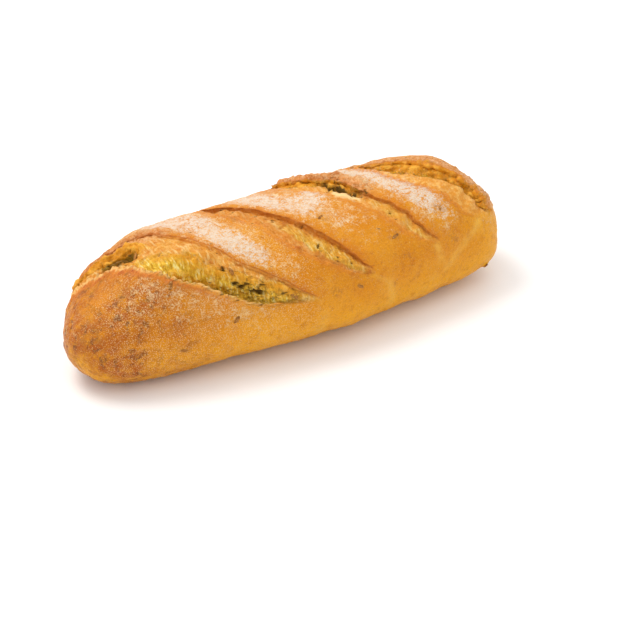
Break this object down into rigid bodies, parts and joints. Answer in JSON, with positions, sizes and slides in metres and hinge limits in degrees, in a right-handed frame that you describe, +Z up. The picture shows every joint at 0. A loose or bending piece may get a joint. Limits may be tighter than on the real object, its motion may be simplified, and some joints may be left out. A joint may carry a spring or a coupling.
{
  "type": "corn bread loaf",
  "caption": "Long oval loaf of golden corn bread with slanting slashes across its top, each with a raised ragged edge over yellow crumb.",
  "frame": {"origin": "middle of the loaf's bounding box on its flat underside", "axes": "+X along the loaf from its tapered left end to its blunt right end, +Z up, -Y towards the side that the slashes run down furthest"},
  "size_m": [0.277, 0.1048, 0.0731],
  "materials": {
    "crust": "matte baked crust, golden orange, dusted with flour, with yellow crumb in the slashes"
  },
  "bodies": {
    "root": {"loaf": "crust"}
  },
  "joints": []
}
